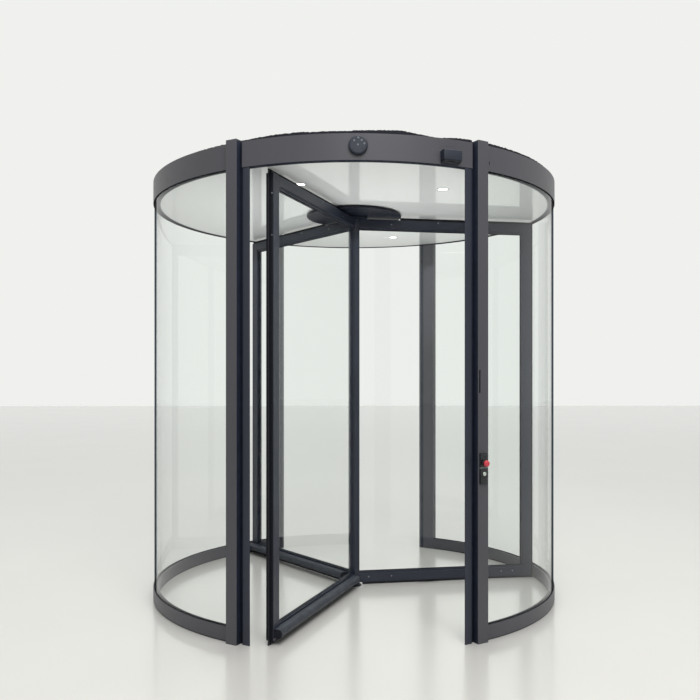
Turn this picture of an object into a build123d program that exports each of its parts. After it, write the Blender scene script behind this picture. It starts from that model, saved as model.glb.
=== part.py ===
from build123d import *
from math import asin, cos, degrees, radians, sin
import os

# An automatic revolving door with three wings in a round glass drum.
# The origin is on the floor at the axis of rotation, +Z is up and the front is -Y.
# Door angles are in degrees from the front, growing counter-clockwise seen from above.

# Drum
drum_radius = 1155.0
clear_height = 2200.0
wall_depth = 30.0
header_height = 119.0
rail_height = 67.0
base_seal_height = 5.0
base_seal_inset = 4.0

# Curved glass, which stands in grooves of the rails and fascias
glass_thickness = 12.0
glass_setback = 6.0
glass_seat_depth = 22.0
gasket_thickness = 2.0
gasket_rise = 3.0
pane_joint = 3.0

# Posts on both sides of the two passages
post_angle = 29.8
post_width = 61.0
post_proud = 20.0
post_rise = 11.0
post_rounding = 3.0
tongue_width = 15.5
tongue_thickness = 12.0
safety_edge_width = 40.5
safety_edge_depth = 25.0
safety_edge_rounding = 4.0
safety_edge_taper = 20.0

# Ceiling and roof
ceiling_thickness = 12.0
ceiling_trim_width = 8.0
roof_panel_thickness = 12.0
roof_cover_thickness = 5.0
roof_cover_inset = 7.0
cover_fold_width = 70.0
cover_fold_inset = 2.0
front_downlight_angle = 35.5
rear_downlight_angle = 158.5
downlight_circle_radius = 770.0
downlight_rim_radius = 31.0
downlight_rim_thickness = 1.5
downlight_can_radius = 26.0
downlight_can_height = 40.0

# Sensors on the headers
round_sensor_radius = 43.0
round_sensor_proud = 16.0
round_sensor_drop = 55.0
motion_sensor_angle = 21.25
motion_sensor_width = 94.0
motion_sensor_height = 56.0
motion_sensor_proud = 38.0
motion_sensor_drop = 85.0
sensor_rounding = 4.0

# Controls on the front right post
panel_width = 43.0
panel_thickness = 10.0
panel_offset = -2.7
panel_bottom = 740.0
panel_seam_height = 815.0
panel_seam = 3.0
panel_top = 882.0
stop_height = 837.0
stop_offset = -7.0
stop_head_radius = 15.0
stop_head_thickness = 14.0
stop_collar_radius = 11.0
stop_collar_height = 7.0
stop_head_gap = 9.0
stop_stem_radius = 6.0
stop_stem_in_panel = 5.0
key_height = 787.0
key_radius = 9.0
key_proud = 4.0
key_depth_in_panel = 6.0
slot_offset = -22.0
slot_bottom = 1161.0
slot_top = 1267.0
slot_width = 10.0
slot_depth = 10.0
slot_insert_depth = 6.0

# Rotor
wing_count = 3
first_wing_angle = -21.5
wing_thickness = 38.0
wing_tip_gap = 5.0
wing_stile_width = 61.0
wing_bottom_rail_height = 62.0
wing_top_rail_height = 61.0
wing_rounding = 2.0
wing_glass_thickness = 10.0
bead_height = 10.0
bead_thickness = 26.0
brush_thickness = 12.0
tip_brush_length = 17.0
floor_gap = 4.0
bottom_brush_height = 15.0
top_brush_height = 18.0
ceiling_gap = 7.0
column_radius = 35.0
column_sides = 6
journal_radius = 25.0
bearing_radius = 90.0
bearing_height = 30.0
bumper_height = 40.0
bumper_depth = 40.0
bumper_rounding = 18.0
bumper_rise = 13.5
bumper_start = 50.0
bumper_end_setback = 21.0

# Flat disc under the ceiling, with a collar that sits on the wings
disc_radius = 280.0
disc_thickness = 9.0
collar_radius = 80.0
collar_thickness = 9.0

# Floor pivot
pivot_plate_radius = 45.0
pivot_plate_thickness = 5.0
pivot_pin_radius = 12.0
pivot_pin_height = 36.0

# Clearances
fit_gap = 0.3
running_gap = 6.0

# Radii and heights that follow from the sizes above
wall_inner_radius = drum_radius - wall_depth
glass_outer_radius = drum_radius - glass_setback
glass_inner_radius = glass_outer_radius - glass_thickness
glass_middle_radius = (glass_outer_radius + glass_inner_radius) / 2
groove_width = glass_thickness + 2 * gasket_thickness
rail_top = base_seal_height + rail_height
header_top = clear_height + header_height
post_face_radius = drum_radius + post_proud
post_height = header_top + post_rise
ceiling_radius = wall_inner_radius - fit_gap - ceiling_trim_width
wing_tip_radius = wall_inner_radius - wing_tip_gap
wing_outer = wing_tip_radius - tip_brush_length
wing_stile_inner = wing_outer - wing_stile_width
wing_bottom = floor_gap + bottom_brush_height
wing_top = clear_height - ceiling_gap - top_brush_height
wing_glass_bottom = wing_bottom + wing_bottom_rail_height
wing_glass_top = wing_top - wing_top_rail_height
column_flat = column_radius * cos(radians(180 / column_sides))
column_bottom = pivot_plate_thickness + fit_gap
disc_bottom = wing_top + collar_thickness
disc_top = disc_bottom + disc_thickness
panel_face_radius = post_face_radius + panel_thickness
stop_head_back = panel_face_radius + stop_collar_height + stop_head_gap

# Door angles where the curved pieces end beside a post
wall_start_angle = post_angle + degrees(asin((post_width / 2 + fit_gap) / wall_inner_radius))
wall_end_angle = 180 - wall_start_angle
header_reach = post_width / 2 + tongue_width + fit_gap
header_half_angle = post_angle - degrees(asin(header_reach / wall_inner_radius))
pane_joint_angle = degrees(pane_joint / glass_middle_radius)

# Folds along the edge of the roof cover: first and last door angle, and height over the headers
cover_folds = [(-14.0, 9.0, 22.0), (17.0, 75.0, 9.0)]

# Each side runs from its starting door angle, the left one mirrored by half a turn
side_starts = {"right": wall_start_angle, "left": 180 + wall_start_angle}
side_sweep = wall_end_angle - wall_start_angle

# Name, door angle and the side on which the passage lies
posts = [
    ("front_right", post_angle, -1),
    ("front_left", -post_angle, 1),
    ("rear_right", 180 - post_angle, 1),
    ("rear_left", 180 + post_angle, -1),
]

os.makedirs("parts", exist_ok=True)


def outward(door_angle):
    """Unit vector from the axis towards a door angle."""
    turn = radians(door_angle - 90)
    return Vector(cos(turn), sin(turn), 0)


def sideways(door_angle):
    """Unit vector along the drum's wall, towards growing door angles."""
    return outward(door_angle + 90)


def section_plane(door_angle):
    """Upright plane through the axis: x runs outward and y runs up."""
    return Plane(origin=(0, 0, 0), x_dir=outward(door_angle), z_dir=-sideways(door_angle))


def plan_plane(door_angle, height):
    """Level plane on the axis: x runs outward and y runs sideways."""
    return Plane(origin=(0, 0, height), x_dir=outward(door_angle), z_dir=(0, 0, 1))


def facing_plane(door_angle, radius):
    """Upright plane that faces outward: x runs sideways and y runs up."""
    direction = outward(door_angle)
    return Plane(origin=direction * radius, x_dir=sideways(door_angle), z_dir=direction)


def save(piece, label):
    """Label a finished sub-part and write it as its own file."""
    piece.part.label = label
    export_step(piece.part, f"parts/{label}.step")


# Black seals between the curved rails and the floor
with BuildPart() as base_seals:
    for side_start in side_starts.values():
        with BuildSketch(section_plane(side_start)):
            with Locations((drum_radius - wall_depth / 2, base_seal_height / 2)):
                Rectangle(wall_depth - 2 * base_seal_inset, base_seal_height)
        revolve(axis=Axis.Z, revolution_arc=side_sweep)
save(base_seals, "base_seals")

# Curved bottom rails, grooved for the glass
for side, side_start in side_starts.items():
    with BuildPart() as bottom_rail:
        with BuildSketch(section_plane(side_start)):
            with Locations((drum_radius - wall_depth / 2, base_seal_height + rail_height / 2)):
                Rectangle(wall_depth, rail_height)
            with Locations((glass_middle_radius, rail_top - glass_seat_depth / 2)):
                Rectangle(groove_width, glass_seat_depth, mode=Mode.SUBTRACT)
        revolve(axis=Axis.Z, revolution_arc=side_sweep)
    save(bottom_rail, f"bottom_rail_{side}")

# Curved side fascias over the glass, grooved on their underside
for side, side_start in side_starts.items():
    with BuildPart() as fascia:
        with BuildSketch(section_plane(side_start)):
            with Locations((drum_radius - wall_depth / 2, clear_height + header_height / 2)):
                Rectangle(wall_depth, header_height)
            with Locations((glass_middle_radius, clear_height + glass_seat_depth / 2)):
                Rectangle(groove_width, glass_seat_depth, mode=Mode.SUBTRACT)
        revolve(axis=Axis.Z, revolution_arc=side_sweep)
    save(fascia, f"fascia_{side}")

# Gaskets that line the grooves and show as a thin black line along the glass
with BuildPart() as glass_gaskets:
    for side_start in side_starts.values():
        for groove_mouth, up in [(rail_top, 1), (clear_height, -1)]:
            gasket_height = glass_seat_depth + gasket_rise
            gasket_middle = groove_mouth + up * (gasket_rise - glass_seat_depth) / 2
            glass_room = gasket_height - gasket_thickness
            room_middle = gasket_middle + up * gasket_thickness / 2
            with BuildSketch(section_plane(side_start)):
                with Locations((glass_middle_radius, gasket_middle)):
                    Rectangle(groove_width, gasket_height)
                with Locations((glass_middle_radius, room_middle)):
                    Rectangle(glass_thickness + 2 * fit_gap, glass_room, mode=Mode.SUBTRACT)
            revolve(axis=Axis.Z, revolution_arc=side_sweep)
save(glass_gaskets, "glass_gaskets")

# Curved glass, two panes on each side that meet in a narrow upright joint
pane_bottom = rail_top - glass_seat_depth + gasket_thickness
pane_top = clear_height + glass_seat_depth - gasket_thickness
pane_sweep = (side_sweep - pane_joint_angle) / 2
pane_names = {"right": ["front", "rear"], "left": ["rear", "front"]}
for side, side_start in side_starts.items():
    for pane_index, pane_name in enumerate(pane_names[side]):
        pane_start = side_start + pane_index * (pane_sweep + pane_joint_angle)
        with BuildPart() as curved_glass:
            with BuildSketch(section_plane(pane_start)):
                with Locations((glass_middle_radius, (pane_bottom + pane_top) / 2)):
                    Rectangle(glass_thickness, pane_top - pane_bottom)
            revolve(axis=Axis.Z, revolution_arc=pane_sweep)
        save(curved_glass, f"curved_glass_{pane_name}_{side}")

# Headers over the two passages
for header_name, header_middle in [("front_header", 0), ("rear_header", 180)]:
    with BuildPart() as header:
        with BuildSketch(section_plane(header_middle - header_half_angle)):
            with Locations((drum_radius - wall_depth / 2, clear_height + header_height / 2)):
                Rectangle(wall_depth, header_height)
        revolve(axis=Axis.Z, revolution_arc=2 * header_half_angle)
    save(header, header_name)

# Posts, each with a thin tongue that carries the safety edge across a groove
post_depth = post_face_radius - wall_inner_radius
for post_name, angle, passage_side in posts:
    with BuildPart() as post:
        with BuildSketch(plan_plane(angle, 0)) as post_profile:
            with Locations((wall_inner_radius + post_depth / 2, 0)):
                Rectangle(post_depth, post_width)
            fillet(post_profile.vertices().group_by(Axis.X)[-1], post_rounding)
            tongue_middle = passage_side * (post_width + tongue_width) / 2
            with Locations((wall_inner_radius + tongue_thickness / 2, tongue_middle)):
                Rectangle(tongue_thickness, tongue_width)
        extrude(amount=post_height)
        if post_name == "front_right":
            slot_middle = (slot_bottom + slot_top) / 2
            with BuildSketch(facing_plane(angle, post_face_radius)):
                with Locations((slot_offset, slot_middle)):
                    Rectangle(slot_width, slot_top - slot_bottom)
            extrude(amount=-slot_depth, mode=Mode.SUBTRACT)
    save(post, f"{post_name}_post")

# Soft safety edges beside the passages, from the floor to the header,
# each with a slanted inner corner towards the passage
safety_edge_offset = post_width / 2 + tongue_width + safety_edge_width / 2
for row in ["front", "rear"]:
    with BuildPart() as safety_edges:
        for post_name, angle, passage_side in posts:
            if post_name.startswith(row):
                edge_radius = wall_inner_radius + safety_edge_depth / 2
                with BuildSketch(plan_plane(angle, 0)) as edge_profile:
                    with Locations((edge_radius, passage_side * safety_edge_offset)):
                        Rectangle(safety_edge_depth, safety_edge_width)
                    inner_corners = edge_profile.vertices().group_by(Axis.X)[0].sort_by(Axis.Y)
                    passage_corner = inner_corners[0 if passage_side < 0 else -1]
                    chamfer(passage_corner, safety_edge_taper)
                    fillet(edge_profile.vertices().group_by(Axis.X)[-1], safety_edge_rounding)
                extrude(amount=clear_height)
    save(safety_edges, f"{row}_safety_edges")

# Trim ring around the ceiling
with BuildPart() as ceiling_trim:
    with BuildSketch(Plane.XY.offset(clear_height)):
        Circle(wall_inner_radius - fit_gap)
        Circle(ceiling_radius, mode=Mode.SUBTRACT)
    extrude(amount=ceiling_thickness)
save(ceiling_trim, "ceiling_trim")

# Ceiling panel with holes for the column and the lights, which face each other in two pairs
downlight_angles = (front_downlight_angle, rear_downlight_angle)
with BuildPart() as ceiling_panel:
    with BuildSketch(Plane.XY.offset(clear_height)):
        Circle(ceiling_radius - fit_gap)
        Circle(journal_radius + running_gap, mode=Mode.SUBTRACT)
        for angle in downlight_angles:
            with PolarLocations(downlight_circle_radius, 2, angle - 90):
                Circle(downlight_can_radius + fit_gap, mode=Mode.SUBTRACT)
    extrude(amount=ceiling_thickness)
save(ceiling_panel, "ceiling_panel")

# Downlights, each a can in the ceiling with a flat rim under it
with BuildPart() as downlights:
    with BuildSketch(Plane.XY.offset(clear_height - downlight_rim_thickness)):
        for angle in downlight_angles:
            with PolarLocations(downlight_circle_radius, 2, angle - 90):
                Circle(downlight_rim_radius)
    extrude(amount=downlight_rim_thickness)
    with BuildSketch(Plane.XY.offset(clear_height)):
        for angle in downlight_angles:
            with PolarLocations(downlight_circle_radius, 2, angle - 90):
                Circle(downlight_can_radius)
    extrude(amount=downlight_can_height)
save(downlights, "downlights")

# Bearing over the ceiling that holds the top of the column
with BuildPart() as top_bearing:
    with BuildSketch(Plane.XY.offset(clear_height + ceiling_thickness)):
        Circle(bearing_radius)
        Circle(journal_radius + fit_gap, mode=Mode.SUBTRACT)
    extrude(amount=bearing_height)
save(top_bearing, "top_bearing")

# Flat roof panel, flush with the tops of the headers and fascias
with BuildPart() as roof_panel:
    with BuildSketch(Plane.XY.offset(header_top - roof_panel_thickness)):
        Circle(wall_inner_radius - fit_gap)
    extrude(amount=roof_panel_thickness)
save(roof_panel, "roof_panel")

# Thin dark cover over the roof, with thicker folds near its edge and cut out at the posts
cover_radius = drum_radius - roof_cover_inset
fold_radius = cover_radius - cover_fold_inset
notch_width = post_width + 2 * (tongue_width + fit_gap)
notch_middle = wall_inner_radius - fit_gap + post_depth / 2
with BuildPart() as roof_cover:
    with BuildSketch(Plane.XY.offset(header_top)):
        Circle(cover_radius)
        for _, angle, _ in posts:
            with PolarLocations(notch_middle, 1, angle - 90):
                Rectangle(post_depth, notch_width, mode=Mode.SUBTRACT)
    extrude(amount=roof_cover_thickness)
    for fold_start, fold_end, fold_height in cover_folds:
        wedge_start = outward(fold_start) * 2 * drum_radius
        wedge_end = outward(fold_end) * 2 * drum_radius
        with BuildSketch(Plane.XY.offset(header_top)):
            Circle(fold_radius)
            Circle(fold_radius - cover_fold_width, mode=Mode.SUBTRACT)
            Polygon((0, 0), (wedge_start.X, wedge_start.Y), (wedge_end.X, wedge_end.Y),
                    align=None, mode=Mode.INTERSECT)
            for _, angle, _ in posts:
                with PolarLocations(notch_middle, 1, angle - 90):
                    Rectangle(post_depth, notch_width, mode=Mode.SUBTRACT)
        extrude(amount=fold_height)
save(roof_cover, "roof_cover")

# Round sensors in the middle of both headers
for row, header_middle in [("front", 0), ("rear", 180)]:
    with BuildPart() as round_sensor:
        with BuildSketch(facing_plane(header_middle, drum_radius)):
            with Locations((0, header_top - round_sensor_drop)):
                Circle(round_sensor_radius)
        extrude(amount=round_sensor_proud)
        rim_edges = round_sensor.edges().sort_by(Axis.Y)
        fillet(rim_edges[0] if row == "front" else rim_edges[-1], sensor_rounding)
    save(round_sensor, f"{row}_round_sensor")

# Box-shaped motion sensors near one end of both headers
for row, header_middle in [("front", 0), ("rear", 180)]:
    with BuildPart() as motion_sensor:
        angle = header_middle + motion_sensor_angle
        with BuildSketch(facing_plane(angle, drum_radius)):
            with Locations((0, header_top - motion_sensor_drop)):
                RectangleRounded(motion_sensor_width, motion_sensor_height, sensor_rounding)
        extrude(amount=motion_sensor_proud)
        chamfer(motion_sensor.faces().sort_by(Axis(origin=(0, 0, 0), direction=outward(angle)))[-1]
                .edges(), sensor_rounding / 2)
    save(motion_sensor, f"{row}_motion_sensor")

# Control panel in two plates, with bores for the stop button and the key switch
panel_middle_heights = [
    (panel_bottom, panel_seam_height - panel_seam / 2),
    (panel_seam_height + panel_seam / 2, panel_top),
]
with BuildPart() as control_panel:
    for plate_bottom, plate_top in panel_middle_heights:
        with BuildSketch(facing_plane(post_angle, post_face_radius)):
            with Locations((panel_offset, (plate_bottom + plate_top) / 2)):
                Rectangle(panel_width, plate_top - plate_bottom)
        extrude(amount=panel_thickness)
    with BuildSketch(facing_plane(post_angle, panel_face_radius)):
        with Locations((stop_offset, stop_height)):
            Circle(stop_stem_radius + fit_gap)
    extrude(amount=-panel_thickness, mode=Mode.SUBTRACT)
    with BuildSketch(facing_plane(post_angle, panel_face_radius)):
        with Locations((stop_offset, stop_height)):
            Circle(stop_collar_radius)
            Circle(stop_stem_radius + fit_gap, mode=Mode.SUBTRACT)
    extrude(amount=stop_collar_height)
    with BuildSketch(facing_plane(post_angle, panel_face_radius)):
        with Locations((panel_offset, key_height)):
            Circle(key_radius + fit_gap)
    extrude(amount=-key_depth_in_panel, mode=Mode.SUBTRACT)
save(control_panel, "control_panel")

# Mushroom-headed emergency stop, which slides in its collar when it is pressed
with BuildPart() as emergency_stop:
    with BuildSketch(facing_plane(post_angle, panel_face_radius - stop_stem_in_panel)):
        with Locations((stop_offset, stop_height)):
            Circle(stop_stem_radius)
    extrude(amount=stop_stem_in_panel + stop_collar_height + stop_head_gap)
    with BuildSketch(facing_plane(post_angle, stop_head_back)):
        with Locations((stop_offset, stop_height)):
            Circle(stop_head_radius)
    extrude(amount=stop_head_thickness)
    head_front = emergency_stop.faces().sort_by(Axis((0, 0, 0), outward(post_angle)))[-1]
    fillet(head_front.edges(), stop_head_thickness / 2)
save(emergency_stop, "emergency_stop")

# Key switch in the lower plate
with BuildPart() as key_switch:
    with BuildSketch(facing_plane(post_angle, panel_face_radius - key_depth_in_panel)):
        with Locations((panel_offset, key_height)):
            Circle(key_radius)
    extrude(amount=key_depth_in_panel + key_proud)
save(key_switch, "key_switch")

# Dark insert in the upright slot of the front right post
with BuildPart() as slot_insert:
    with BuildSketch(facing_plane(post_angle, post_face_radius - slot_depth)):
        with Locations((slot_offset, (slot_bottom + slot_top) / 2)):
            Rectangle(slot_width - fit_gap, slot_top - slot_bottom - fit_gap)
    extrude(amount=slot_insert_depth)
save(slot_insert, "slot_insert")

# Floor pivot: a round plate with the pin that carries the column
with BuildPart() as floor_pivot:
    with BuildSketch():
        Circle(pivot_plate_radius)
    extrude(amount=pivot_plate_thickness)
    with BuildSketch(Plane.XY.offset(pivot_plate_thickness)):
        Circle(pivot_pin_radius)
    extrude(amount=pivot_pin_height)
save(floor_pivot, "floor_pivot")

# Six-sided column whose flats face the wings, bored for the pivot pin,
# with a round journal through the ceiling
column_turn = 180 / column_sides
with BuildPart() as column:
    with BuildSketch(plan_plane(first_wing_angle, column_bottom)):
        RegularPolygon(column_radius, column_sides, rotation=column_turn)
    extrude(amount=disc_top - column_bottom)
    with BuildSketch(Plane.XY.offset(disc_top)):
        Circle(journal_radius)
    extrude(amount=ceiling_gap + ceiling_thickness + bearing_height)
    with BuildSketch(Plane.XY.offset(column_bottom)):
        Circle(pivot_pin_radius + fit_gap)
    extrude(amount=pivot_pin_height, mode=Mode.SUBTRACT)
save(column, "center_column")

# Flat disc that turns just under the ceiling, with a collar that sits on the wings
with BuildPart() as disc:
    with BuildSketch(plan_plane(first_wing_angle, disc_bottom)):
        Circle(disc_radius)
    extrude(amount=disc_thickness)
    chamfer(disc.edges().group_by(Axis.Z)[0], disc_thickness / 3)
    with BuildSketch(plan_plane(first_wing_angle, wing_top)):
        Circle(collar_radius)
    extrude(amount=collar_thickness)
    with BuildSketch(plan_plane(first_wing_angle, wing_top)):
        RegularPolygon(column_radius, column_sides, rotation=column_turn)
    extrude(amount=collar_thickness + disc_thickness, mode=Mode.SUBTRACT)
save(disc, "ceiling_disc")

# Wings, each a glazed frame with brush seals and a safety bumper
rail_length = wing_stile_inner - column_flat
for wing in range(1, wing_count + 1):
    angle = first_wing_angle + (wing - 1) * 360 / wing_count

    with BuildPart() as outer_stile:
        with BuildSketch(plan_plane(angle, wing_bottom)):
            with Locations(((wing_stile_inner + wing_outer) / 2, 0)):
                RectangleRounded(wing_stile_width, wing_thickness, wing_rounding)
        extrude(amount=wing_top - wing_bottom)
    save(outer_stile, f"wing_{wing}_stile")

    # Top and bottom rails, each with a slimmer bead towards the glass
    with BuildPart() as rails:
        with BuildSketch(facing_plane(angle, column_flat)):
            for rail_edge, up, height in [
                (wing_bottom, 1, wing_bottom_rail_height),
                (wing_top, -1, wing_top_rail_height),
            ]:
                body_height = height - bead_height
                with Locations((0, rail_edge + up * body_height / 2)):
                    RectangleRounded(wing_thickness, body_height, wing_rounding)
                with Locations((0, rail_edge + up * (body_height + bead_height / 2))):
                    Rectangle(bead_thickness, bead_height)
        extrude(amount=rail_length)
    save(rails, f"wing_{wing}_rails")

    with BuildPart() as wing_glass:
        with BuildSketch(facing_plane(angle, column_flat)):
            with Locations((0, (wing_glass_bottom + wing_glass_top) / 2)):
                Rectangle(wing_glass_thickness, wing_glass_top - wing_glass_bottom)
        extrude(amount=rail_length)
    save(wing_glass, f"wing_{wing}_glass")

    # Brush seals along the tip, under the ceiling and over the floor
    with BuildPart() as brushes:
        with BuildSketch(plan_plane(angle, floor_gap)):
            with Locations(((wing_outer + wing_tip_radius) / 2, 0)):
                Rectangle(tip_brush_length, brush_thickness)
        extrude(amount=clear_height - ceiling_gap - floor_gap)
        bottom_brush_start = pivot_plate_radius + running_gap
        with BuildSketch(plan_plane(angle, floor_gap)):
            with Locations(((bottom_brush_start + wing_outer - fit_gap) / 2, 0)):
                Rectangle(wing_outer - fit_gap - bottom_brush_start, brush_thickness)
        extrude(amount=bottom_brush_height)
        top_brush_start = disc_radius + fit_gap
        with BuildSketch(plan_plane(angle, wing_top)):
            with Locations(((top_brush_start + wing_outer - fit_gap) / 2, 0)):
                Rectangle(wing_outer - fit_gap - top_brush_start, brush_thickness)
        extrude(amount=top_brush_height)
    save(brushes, f"wing_{wing}_brushes")

    # Rounded bumper on the face that leads when the door turns
    with BuildPart() as bumper:
        with BuildSketch(facing_plane(angle, bumper_start)) as bumper_profile:
            with Locations((wing_thickness / 2, wing_bottom + bumper_rise)):
                Rectangle(bumper_depth, bumper_height, align=(Align.MIN, Align.MIN))
            fillet(bumper_profile.vertices().group_by(Axis.X)[-1], bumper_rounding)
        extrude(amount=wing_tip_radius - bumper_end_setback - bumper_start)
    save(bumper, f"wing_{wing}_bumper")
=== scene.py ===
"""Looks of an automatic revolving door with three glazed wings in a round glass drum."""

import math
import random

import bmesh
import bpy
from bpy.props import FloatProperty, FloatVectorProperty
from mathutils import Matrix, Vector, noise as mathnoise


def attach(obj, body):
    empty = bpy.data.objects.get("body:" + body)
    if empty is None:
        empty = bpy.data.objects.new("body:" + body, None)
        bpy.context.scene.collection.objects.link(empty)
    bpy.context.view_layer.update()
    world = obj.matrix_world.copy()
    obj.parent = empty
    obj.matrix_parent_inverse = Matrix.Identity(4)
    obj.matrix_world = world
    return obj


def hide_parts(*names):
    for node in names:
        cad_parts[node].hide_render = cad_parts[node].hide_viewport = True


bl_info = {
    "name": "Revolving Door Looks",
    "version": (1, 0, 0),
    "blender": (4, 5, 0),
    "location": "3D View > Sidebar > Revolving Door",
    "description": "Paint, glass, seals, lights and controls of a revolving door",
    "category": "Object",
}

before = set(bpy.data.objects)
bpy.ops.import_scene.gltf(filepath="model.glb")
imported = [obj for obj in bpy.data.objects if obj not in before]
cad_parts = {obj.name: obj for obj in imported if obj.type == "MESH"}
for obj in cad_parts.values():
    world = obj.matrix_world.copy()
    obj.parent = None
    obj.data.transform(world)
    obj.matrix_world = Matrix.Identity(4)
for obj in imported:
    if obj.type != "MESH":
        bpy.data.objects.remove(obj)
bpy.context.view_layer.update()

# Door angles are in degrees from the front, growing counter-clockwise seen from above.
# A piece on the drum or a wing has its x sideways, its y up and its z outwards.
MM = 0.001
DRUM_RADIUS = 1155 * MM
CLEAR_HEIGHT = 2200 * MM
HEADER_TOP = 2319 * MM
POST_ANGLE = 29.8
POST_ANGLES = (POST_ANGLE, -POST_ANGLE, 180 - POST_ANGLE, 180 + POST_ANGLE)
POST_FACE = 1175 * MM
PASSAGES = (("front", 0), ("rear", 180))

# Wings, with places along a wing as distances from the axis
FIRST_WING_ANGLE = -21.5
WINGS = (1, 2, 3)
WING_THICKNESS = 38 * MM
WING_BOTTOM = 19 * MM
WING_TOP = 2175 * MM
STILE_INNER = 1042 * MM
WING_OUTER = 1103 * MM
WING_TIP = 1120 * MM
COLUMN_FLAT = 30.3 * MM
FOOT_SCREW_HEIGHT = 50 * MM
FOOT_SCREWS = (86 * MM, 224 * MM, 911 * MM, 982 * MM)
HEAD_SCREWS = ((2148 * MM, 224 * MM), (2165 * MM, 512 * MM))
TIP_SCREW_HEIGHTS = (1888 * MM, 2081 * MM)
WING_GLASS = (81 * MM, 2114 * MM)
WING_GLASS_THICKNESS = 10 * MM
BRUSH_THICKNESS = 12 * MM
BRUSH_BOTTOM = 1 * MM
BRUSH_TOP = 2193 * MM
BUMPER_SPAN = (50 * MM, 1099 * MM)
BUMPER_FOOT = WING_BOTTOM + 13.5 * MM
BUMPER_HEIGHT = 40 * MM
BUMPER_DEPTH = 40 * MM
BUMPER_ROUNDING = 18 * MM

# Sensors on both headers
ROUND_SENSOR_HEIGHT = 2264 * MM
ROUND_SENSOR_FACE = 15.4 * MM
MOTION_SENSOR_ANGLE = 21.25
MOTION_SENSOR_SPAN = (2206 * MM, 2262 * MM)
MOTION_SENSOR_WIDTH = 94 * MM
MOTION_SENSOR_DEPTH = 38 * MM
MOTION_SENSOR_SLIT = 2214 * MM

# Panel, stop button and key switch on the front right post
PANEL_OFFSET = -2.7 * MM
PANEL_WIDTH = 43 * MM
PANEL_THICKNESS = 10 * MM
PANEL_PLATES = ((740 * MM, 813.5 * MM), (816.5 * MM, 882 * MM))
PANEL_FACE = POST_FACE + PANEL_THICKNESS
STOP_OFFSET = -7 * MM
STOP_HEIGHT = 837 * MM
STOP_HEAD_BACK = 16 * MM
KNOB_HEIGHT = 867 * MM
KNOB_OFFSET = 7 * MM
KEY_HEIGHT = 787 * MM

# Curved panes of the drum: radii, heights, and first and last door angles
PANE_RADII = (1137 * MM, 1149 * MM)
PANE_HEIGHTS = (52 * MM, 2220 * MM)
PANE_START = 31.369
PANE_END = 89.925
PANE_SPANS = {"front_right": (PANE_START, PANE_END),
              "rear_right": (180 - PANE_END, 180 - PANE_START),
              "rear_left": (180 + PANE_START, 180 + PANE_END),
              "front_left": (360 - PANE_END, 360 - PANE_START)}

# Rubber liners in dark navy that paint shade: lips under the fascias and headers for the shade of
# their undersides, strips for the shadow gap in the grooves beside the posts, and cheeks for the
# shade on the posts' side faces
INNER_LIP_RADII = (1125.6 * MM, 1134.8 * MM)
OUTER_LIP_RADII = (1151.2 * MM, 1154.4 * MM)
LIP_THICKNESS = 0.6 * MM
FASCIA_START = 31.5
FASCIA_SWEEP = 117
HEADER_HALF_ANGLE = 27.3
SHADE_LINER_LENGTH = 2323 * MM
SHADE_LINER_MIDDLE = 1163 * MM
PLUG_ANGLE = 32.5
PLUG_HEIGHT = 2239 * MM

# Ceiling lights, in two pairs that face each other
FRONT_LIGHT_ANGLE = 35.5
REAR_LIGHT_ANGLE = 158.5
LIGHT_ANGLES = (FRONT_LIGHT_ANGLE, REAR_LIGHT_ANGLE, FRONT_LIGHT_ANGLE + 180,
                REAR_LIGHT_ANGLE + 180)
LIGHT_CIRCLE = 770 * MM

# Height of the roof cover's rim over the header, in millimetres, by door angle
COVER_RIM = [(-180, 1.0), (-60, 2.0), (-30, 6.0), (-25, 9.0), (-20, 14.0), (-13, 16.5),
             (-10.5, 12.5), (-7.7, 14.5), (-4, 13.0), (0, 15.5), (4.5, 18.5), (9, 20.5),
             (10.5, 19.5), (13, 12.6), (16, 6.6), (17.5, 3.5), (19, 3.0), (20.3, 7.0),
             (23.3, 13.0), (26.5, 15.0), (33, 16.0), (41, 13.5), (52, 12.0), (60, 8.0),
             (75, 5.0), (90, 2.0), (180, 1.0)]
COVER_RADIUS = 1145 * MM
COVER_REACH = 1147 * MM
COVER_TOP = 2340.5 * MM
COVER_FLAT = 3 * MM
COVER_RIM_START = 0.93
COVER_NOTCH_ANGLE = 1.9
COVER_NOTCH_REACH = 1116 * MM

# The photographing camera, in metres and degrees, and its picture in pixels
PICTURE_WIDTH = 700
FOCAL_PIXELS = 768.3
PRINCIPAL_X = 353.97
HORIZON_Y = 378.64
CAMERA_DISTANCE = 4.571
CAMERA_HEIGHT = 1.2272
CAMERA_ANGLE = -0.91
SENSOR_WIDTH = 36.0


def srgb(red, green, blue):
    """Linear colour of an sRGB colour given in 0 to 255."""
    shares = [channel / 255 for channel in (red, green, blue)]
    return tuple(s / 12.92 if s <= 0.04045 else ((s + 0.055) / 1.055) ** 2.4 for s in shares)


def outward(door_angle):
    """Unit vector from the axis towards a door angle."""
    turn = math.radians(door_angle - 90)
    return Vector((math.cos(turn), math.sin(turn), 0))


def at(door_angle, radius, height, sideways=0.0):
    """Place of a piece: x to the right seen from outside, y up, z outwards."""
    out, right = outward(door_angle), outward(door_angle + 90)
    spot = out * radius + right * sideways + Vector((0, 0, height))
    return Matrix(((right.x, 0, out.x, spot.x), (right.y, 0, out.y, spot.y),
                   (0, 1, 0, spot.z), (0, 0, 0, 1)))


def wing_angle(wing):
    """Door angle of a wing."""
    return FIRST_WING_ANGLE + 120 * (wing - 1)


def nodes_of(*starts):
    """CAD nodes whose names start with one of the given words."""
    return [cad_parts[n] for n in sorted(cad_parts) if n.startswith(starts)]


def colour_property(name, description, colour):
    """Colour field of a property group."""
    return FloatVectorProperty(name=name, description=description, subtype="COLOR",
                               size=3, min=0, max=1, default=colour)


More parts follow.
